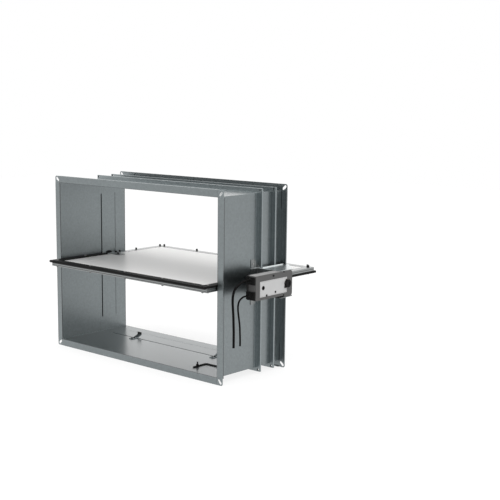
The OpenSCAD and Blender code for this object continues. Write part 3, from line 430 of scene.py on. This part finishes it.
def galvanised(name, value, rough=0.34, spangle=150.0, cast=ZINC, shade_lines=None, shine=None):
    """Zinc coated sheet: fine spangle, faint clouds, painted shade on edges that face sideways
    or down, and a painted highlight on upper edges.

    The last two arguments are functions that give lines of painted shade and bands of painted
    highlight.
    """
    s = Shader(name)
    s.fixed(Metallic=1.0, Coat_Weight=1.0, Coat_Roughness=0.25, Coat_IOR=1.5)
    clouds = s.noise(6.0, detail=3.0)
    mottle = s.blend(s.cells(spangle), clouds, share=0.5)
    base = s.mix(mottle, *shades(value, 1 - SPANGLE_DEPTH, 1 + SPANGLE_DEPTH, cast))
    normal = s.rounded(EDGE_RADIUS, samples=6)
    edge = s.turn(normal, *SHEET_EDGE)
    # Painted light on the rounded edges: a highlight where they face up, shade where they face
    # sideways or down
    up = s.rise(normal, *HIGHLIGHT_RISE)
    edge_shade = s.math("MULTIPLY", edge, s.math("SUBTRACT", 1.0, up))
    edge_highlight = s.math("MULTIPLY", edge, up)
    base = s.over(base, grey(value * EDGE_SHADE_TONE, cast), edge_shade, EDGE_LIGHT_DEPTH)
    base = s.over(base, grey(value * EDGE_HIGHLIGHT_TONE, cast), edge_highlight, EDGE_LIGHT_DEPTH)
    # Lines of painted shade
    if shade_lines:
        base = s.over(base, grey(value * SHADE_LINE_TONE, cast), shade_lines(s), PAINTED_MARK_DEPTH)
    # Bands of painted highlight
    if shine:
        base = s.over(base, grey(HIGHLIGHT_BAND_TONE, cast), shine(s), PAINTED_MARK_DEPTH)
    s.colour(base)
    s.rough(rough - 0.03, rough + 0.05, mottle)
    s.bump(clouds, strength=0.02, distance=0.0010)
    return s.mat


def flange_shade_lines(s):
    """Painted shade: dark lines at the free ends of the flanges' lips, for the shadow gap behind
    them, and at the bends inside the duct's mouths.
    """
    front_lip = s.near(Y, FRONT_Y + LIP - SHADE_LINE_HALF_WIDTH, SHADE_LINE_HALF_WIDTH)
    rear_lip = s.near(Y, REAR_Y - LIP + SHADE_LINE_HALF_WIDTH, SHADE_LINE_HALF_WIDTH)
    lips = s.math("MAXIMUM", front_lip, rear_lip)
    bends = s.math("MAXIMUM", s.near(Y, FRONT_Y, SHADE_LINE_HALF_WIDTH * 2), s.near(Y, REAR_Y, SHADE_LINE_HALF_WIDTH * 2))
    inside = s.math("SUBTRACT", 1.0, s.past(WALL_X - CORNER_REACH, WALL_Z - CORNER_REACH))
    reach = FLANGE - SHEET - CORNER_REACH
    outside = s.past(WALL_X + reach, WALL_Z + reach)
    return s.math("ADD", s.math("MULTIPLY", lips, outside), s.math("MULTIPLY", bends, inside))


def frame_seam_shade(s):
    """Painted shade along the lines where the folded sheets of the blade's frame meet, in the
    gap between them.
    """
    return s.math("ADD", s.near(Z, FRAME_SEAM_UPPER, SHADE_LINE_HALF_WIDTH), s.near(Z, FRAME_SEAM_LOWER, SHADE_LINE_HALF_WIDTH))


def console_lip_highlight(s):
    """A painted highlight along the upturned lip of the console's upper plate."""
    return s.near(Z, COVER_TOP + SHEET + CONSOLE_LIP / 2, CONSOLE_LIP / 2)


def plated(name, value, rough, cast=PLATING):
    """Plated or bare metal with faint patches and rubbed edges."""
    s = Shader(name)
    s.fixed(Metallic=1.0)
    patches = s.noise(220.0, detail=3.0)
    base = s.mix(patches, *shades(value, 0.88, 1.1, cast))
    s.colour(s.over(base, grey(value * 1.35), s.edges(0.0006), RUB_DEPTH))
    s.rough(rough - 0.05, rough + 0.12, patches)
    s.bump(s.noise(1400.0, detail=2.0), strength=0.08, distance=0.0002, radius=0.0003)
    return s.mat


def turned_steel(name, value):
    """Steel turned about X: fine rings along the shaft."""
    s = Shader(name)
    s.fixed(Metallic=1.0)
    rings = s.noise(40.0, detail=3.0, stretch=(60.0, 1.0, 1.0))
    s.colour(s.mix(rings, *shades(value, 0.85, 1.12)))
    s.rough(0.22, 0.40, rings)
    s.bump(rings, strength=0.15, distance=0.0002, radius=0.0004)
    return s.mat


def coated_black(name, value, rough=0.38, grain=800.0, edge=0.0006, shine=0.05):
    """Black coated steel or moulded plastic with a fine grain and rubbed edges."""
    s = Shader(name)
    s.fixed(Specular_IOR_Level=0.12)
    fine = s.noise(grain, detail=3.0)
    wide = s.noise(60.0, detail=3.0)
    base = s.mix(wide, *shades(value, 0.75, 1.35))
    s.colour(s.over(base, grey(shine), s.edges(edge), RUB_DEPTH))
    s.rough(rough - 0.08, rough + 0.12, fine, wide)
    s.bump(fine, strength=0.18, distance=0.0003, radius=edge)
    return s.mat


def rubber(name, value, rough=0.55, specular=0.08):
    """Dull black rubber with a fine grain."""
    s = Shader(name)
    s.fixed(Specular_IOR_Level=specular)
    fine = s.noise(1100.0, detail=3.0)
    wide = s.noise(35.0, detail=3.0)
    s.colour(s.mix(wide, *shades(value, 0.8, 1.3)))
    s.rough(rough - 0.10, rough + 0.14, fine, wide)
    s.bump(fine, strength=0.25, distance=0.0004, radius=0.0008)
    return s.mat


def fire_board(name):
    """White calcium silicate board: felt-like fibres and faint grey clouds."""
    s = Shader(name)
    clouds = s.noise(5.0, detail=5.0)
    fibres = s.noise(160.0, detail=6.0, roughness=0.7, stretch=(1.0, 0.35, 1.0))
    felt = s.blend(clouds, fibres, share=0.3)
    s.colour(s.mix(felt, (0.66, 0.655, 0.645), (0.74, 0.735, 0.725)))
    s.rough(0.28, 0.36, fibres)
    s.bump(fibres, strength=0.05, distance=0.0004)
    return s.mat


def moulded_grey(name, value, rough=0.45, cast=WARM_GREY, top_light=0.0):
    """Moulded plastic with a fine grain, rubbed edges, and painted light that makes its upper
    faces a paler, mottled grey.
    """
    s = Shader(name)
    fine = s.noise(1500.0, detail=2.0)
    wide = s.noise(45.0, detail=4.0)
    base = s.mix(wide, *shades(value, 0.92, 1.08, cast))
    base = s.over(base, grey(value * 1.7, cast), s.edges(0.0008), share=0.35)
    # Painted light: faces that point up are mixed towards a pale grey, as if lit from above
    if top_light:
        up = s.rise(s.add("ShaderNodeNewGeometry").outputs["Normal"], *TOP_LIGHT_RISE)
        lit_top = s.math("MULTIPLY", up, s.span(wide, top_light * 0.8, top_light * 1.2))
        base = s.mix(lit_top, base, grey(0.6, cast))
    s.colour(base)
    s.rough(rough - 0.06, rough + 0.10, fine, wide)
    s.bump(fine, strength=0.2, distance=0.0003, radius=0.0009)
    return s.mat


def label_face(name):
    """A bare pale plate that faces +X, with a faint brushed sheen and a thin plain border."""
    low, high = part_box("label_plate")
    s = Shader(name)
    past = []
    for axis in (Y, Z):
        off = s.off(axis, (low[axis] + high[axis]) / 2)
        past.append(s.math("SUBTRACT", off, (high[axis] - low[axis]) / 2 - LABEL_BORDER))
    border = s.math("COMPARE", s.math("MAXIMUM", *past), 0.0, LABEL_LINE)
    lines = s.noise(500.0, detail=3.0, stretch=(1.0, 0.05, 1.0))
    wide = s.noise(30.0, detail=3.0)
    base = s.mix(s.blend(lines, wide, share=0.6), grey(0.50), grey(0.57))
    s.colour(s.over(base, grey(0.12), border, share=0.7))
    s.rough(0.34, 0.5, lines)
    s.bump(lines, strength=0.05, distance=0.0002)
    return s.mat


def stop_strip(name, value):
    """A bent zinc strip whose upright end is a black pad."""
    s = Shader(name)
    wide = s.noise(60.0, detail=3.0)
    pad = s.math("LESS_THAN", s.math("ABSOLUTE", s.place(Z)), STOP_KNEE_Z)
    base = s.mix(wide, *shades(value, 0.85, 1.15, ZINC))
    s.colour(s.mix(pad, base, grey(0.01)))
    s.link(s.math("SUBTRACT", 1.0, pad), s.bsdf.inputs["Metallic"])
    s.rough(0.3, 0.45, wide)
    s.bump(s.noise(900.0, detail=2.0), strength=0.08, distance=0.0002)
    return s.mat


def circuit_green(name):
    """A lacquered circuit board with broad tracks."""
    s = Shader(name)
    s.fixed(Coat_Weight=0.4)
    tracks = s.noise(220.0, detail=2.0, stretch=(1.0, 1.0, 3.0))
    s.colour(s.mix(s.math("GREATER_THAN", tracks, 0.52), (0.01, 0.07, 0.03), (0.02, 0.13, 0.05)))
    s.rough(0.25, 0.45, tracks)
    s.bump(tracks, strength=0.2, distance=0.0002)
    return s.mat


# Each finish: the function that makes it, and its values. value is how light it is.
FINISHES = {
    # The casing sheet carries lines of painted shade at its flanges' lips and mouth bends
    "galvanised_sheet": (galvanised, dict(value=0.205, shade_lines=flange_shade_lines)),
    # The console's sheet carries a painted highlight along its lip
    "console_sheet": (galvanised, dict(value=0.21, cast=PALE_ZINC, shine=console_lip_highlight)),
    "stop_strip": (stop_strip, dict(value=0.32)),
    "rib_sheet": (galvanised, dict(value=0.260, spangle=170.0)),
    # The blade's frame carries lines of painted shade at its seams
    "frame_sheet": (galvanised, dict(value=0.24, rough=0.30, cast=PALE_ZINC, shade_lines=frame_seam_shade)),
    "zinc_plate": (galvanised, dict(value=0.22, rough=0.30, spangle=260.0)),
    "zinc_fasteners": (plated, dict(value=0.34, rough=0.34)),
    "black_fasteners": (coated_black, dict(value=0.008, rough=0.34, edge=0.0004)),
    "rod_steel": (coated_black, dict(value=0.035)),
    # Zinc plating darkened as painted shade, for the nuts that sit in shadow under the blade
    "dull_nuts": (plated, dict(value=0.08, rough=0.4)),
    "pointer_plastic": (coated_black, dict(value=0.004, rough=0.5, grain=1200.0, shine=0.02)),
    "shaft_steel": (turned_steel, dict(value=0.55)),
    "graphite_seal": (rubber, dict(value=0.008)),
    "gasket_rubber": (rubber, dict(value=0.008)),
    "fire_board": (fire_board, {}),
    "black_plastic": (coated_black, dict(value=0.006, rough=0.44, grain=1200.0)),
    # The housing's upper faces get painted light
    "actuator_housing": (moulded_grey, dict(value=0.070, rough=0.32, top_light=0.5)),
    "label_face": (label_face, {}),
    "base_plastic": (coated_black, dict(value=0.022, rough=0.44, grain=1200.0)),
    "gear_steel": (plated, dict(value=0.40, rough=0.4, cast=YELLOW_METAL)),
    "gear_plastic": (moulded_grey, dict(value=0.66, cast=IVORY)),
    "motor_can": (plated, dict(value=0.5, rough=0.32)),
    "circuit_green": (circuit_green, {}),
    "cable_sheath": (rubber, dict(value=0.004, rough=0.5, specular=0.04)),
}

# Nodes that get another finish than their slot's
SPECIAL = {
    "console": "console_sheet",
    "floor_stops": "stop_strip",
    "upper_stops": "stop_strip",
    "floor_rod": "rod_steel",
    # The blade's nuts get the darkened zinc of painted shade
    "blade_nuts": "dull_nuts",
    "actuator_base": "base_plastic",
    "position_pointer": "pointer_plastic",
}


def dress_frame(materials):
    for row in record["subparts"]:
        mesh = nodes[row["node"]].data
        mesh.materials.clear()
        mesh.materials.append(materials[SPECIAL.get(row["node"], row["material_slot"])])


# Rounded edges

# An edge is sharp past this angle, and faces are flat together within this one
SHARP_ANGLE = math.radians(40)
FLAT_ANGLE = math.radians(0.5)
WELD_REACH = 0.00001

# The casing's long corners
CASING_CORNER = (WALL_X, WALL_Z)
CASING_WIDTH = 0.0022

# Width of the rounding, its steps, and the nodes that have it
ROUNDED = [
    (0.0004, 2, ["front_rib", "rear_rib", "console", "front_edge_frame", "rear_edge_frame"]),
    (0.0005, 2, [
        "front_flange_corners", "rear_flange_corners", "left_shaft_bracket",
        "right_shaft_bracket", "floor_stops", "upper_stops",
    ]),
    (0.0012, 3, ["actuator_cover"]),
    (0.0009, 3, [
        "actuator_base", "upper_cable_block", "lower_cable_block", "front_gasket", "rear_gasket",
    ]),
]


def edge_group(name, corner):
    """A node group that marks a mesh's sharp edges for the bevel that follows it.

    Where a corner is given, a place across and up, it marks the edges along that instead.
    """
    group = bpy.data.node_groups.new(name, "GeometryNodeTree")
    group.interface.new_socket("Geometry", in_out="INPUT", socket_type="NodeSocketGeometry")
    group.interface.new_socket("Geometry", in_out="OUTPUT", socket_type="NodeSocketGeometry")
    add, link = group.nodes.new, group.links.new

    def calc(kind, *values):
        node = add("ShaderNodeMath")
        node.operation = kind
        for socket, value in zip(node.inputs, values):
            if isinstance(value, (int, float)):
                socket.default_value = value
            else:
                link(value, socket)
        return node.outputs[0]

    start, end = add("NodeGroupInput"), add("NodeGroupOutput")
    bare = add("GeometryNodeRemoveAttribute")
    bare.inputs["Name"].default_value = "custom_normal"
    store = add("GeometryNodeStoreNamedAttribute")
    store.data_type = "FLOAT"
    store.domain = "EDGE"
    store.inputs["Name"].default_value = "bevel_weight_edge"
    if corner:
        place = add("ShaderNodeSeparateXYZ")
        link(add("GeometryNodeInputPosition").outputs[0], place.inputs[0])
        near_x = calc("COMPARE", calc("ABSOLUTE", place.outputs[X]), corner[0], CORNER_REACH)
        near_z = calc("COMPARE", calc("ABSOLUTE", place.outputs[Z]), corner[1], CORNER_REACH)
        weight = calc("MULTIPLY", near_x, near_z)
    else:
        angle = add("GeometryNodeInputMeshEdgeAngle").outputs["Unsigned Angle"]
        weight = calc("GREATER_THAN", angle, SHARP_ANGLE)
    link(weight, store.inputs["Value"])
    link(start.outputs[0], bare.inputs["Geometry"])
    link(bare.outputs[0], store.inputs["Geometry"])
    link(store.outputs[0], end.inputs[0])
    return group


def round_edges(names, width, steps=2, corner=None):
    """Rounds the edges of CAD nodes with modifiers; their meshes stay as they are.

    Flat faces are merged first, except where only a corner is rounded.
    """
    group = edge_group("edges_" + names[0], corner)
    for name in names:
        modifiers = nodes[name].modifiers
        modifiers.new("weld", "WELD").merge_threshold = WELD_REACH
        if not corner:
            flat = modifiers.new("flat", "DECIMATE")
            flat.decimate_type = "DISSOLVE"
            flat.angle_limit = FLAT_ANGLE
        modifiers.new("edges", "NODES").node_group = group
        bevel = modifiers.new("bevel", "BEVEL")
        bevel.limit_method = "WEIGHT"
        bevel.width = width
        bevel.segments = steps
        bevel.use_clamp_overlap = False


# Cables

# Routes of the cables across the duct's side, as places along Y and Z, all in millimetres
CABLE_X = 480.0
UPPER_DIAMETER = 8.0
UPPER_ROUTE = [
    (-134, 30), (-148, 30), (-164, 28), (-180, 24), (-194, 18), (-206, 8),
    (-213, -5), (-216, -20), (-216, -38), (-214, -60), (-212, -84),
    (-211, -108), (-210, -132), (-210, -158), (-210, -184),
]
LOWER_DIAMETER = 6.0
LOWER_ROUTE = [
    (-140, -21), (-152, -21), (-164, -22), (-175, -26), (-184, -33), (-189, -44),
    (-190, -58), (-188, -74), (-185, -90), (-182, -106), (-180, -122),
    (-179, -142), (-178, -162), (-178, -183),
]

# Steps between two places of a route, sides of a cable, and the angle past which it has an edge
CABLE_STEPS = 4
CABLE_SIDES = 20
CABLE_CREASE = math.radians(50)


def smooth(points, steps):
    """A curve through all the points, with that many steps between each pair."""
    out = []
    for i in range(len(points) - 1):
        a = points[max(i - 1, 0)]
        b, c = points[i], points[i + 1]
        d = points[min(i + 2, len(points) - 1)]
        for k in range(steps):
            t = k / steps
            out.append(0.5 * (
                2 * b + (c - a) * t + (2 * a - 5 * b + 4 * c - d) * t ** 2
                + (3 * b - a - 3 * c + d) * t ** 3
            ))
    out.append(points[-1])
    return out


def tube(name, path, radius):
    """A closed round tube along a path that stays at one X."""
    bm = bmesh.new()
    across = Vector((1, 0, 0))
    angles = [2 * math.pi * k / CABLE_SIDES for k in range(CABLE_SIDES)]
    rings = []
    for i, p in enumerate(path):
        along = (path[min(i + 1, len(path) - 1)] - path[max(i - 1, 0)]).normalized()
        up = along.cross(across)
        rings.append([
            bm.verts.new(p + radius * (math.cos(a) * across + math.sin(a) * up)) for a in angles
        ])
    for a, b in zip(rings, rings[1:]):
        for k in range(CABLE_SIDES):
            after = (k + 1) % CABLE_SIDES
            bm.faces.new((a[k], a[after], b[after], b[k]))
    bm.faces.new(rings[0][::-1])
    bm.faces.new(rings[-1])
    bmesh.ops.recalc_face_normals(bm, faces=bm.faces)
    bm.normal_update()
    for face in bm.faces:
        face.smooth = True
    for edge in bm.edges:
        edge.smooth = edge.calc_face_angle() < CABLE_CREASE
    mesh = bpy.data.meshes.new(name)
    bm.to_mesh(mesh)
    bm.free()
    return mesh


def make_cable(name, node, route, diameter_mm, mat):
    path = smooth([Vector((CABLE_X, y, z)) * MM for y, z in route], CABLE_STEPS)
    diameter = diameter_mm * MM
    mesh = tube(name, path, diameter / 2)
    mesh.materials.append(mat)
    piece = bpy.data.objects.new(name, mesh)
    bpy.context.scene.collection.objects.link(piece)
    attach(piece, "casing")
    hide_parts(node)


make_camera()
make_world()
make_floor()
for name, (place, diameter, watts) in LAMPS.items():
    make_lamp(name, place, diameter, watts)

materials = {name: make(name, **values) for name, (make, values) in FINISHES.items()}
dress_frame(materials)
round_edges(["front_section", "rear_section"], CASING_WIDTH, corner=CASING_CORNER)
for width, steps, names in ROUNDED:
    round_edges(names, width, steps)
sheath = materials["cable_sheath"]
make_cable("upper_cable_sheath", "upper_cable", UPPER_ROUTE, UPPER_DIAMETER, sheath)
make_cable("lower_cable_sheath", "lower_cable", LOWER_ROUTE, LOWER_DIAMETER, sheath)
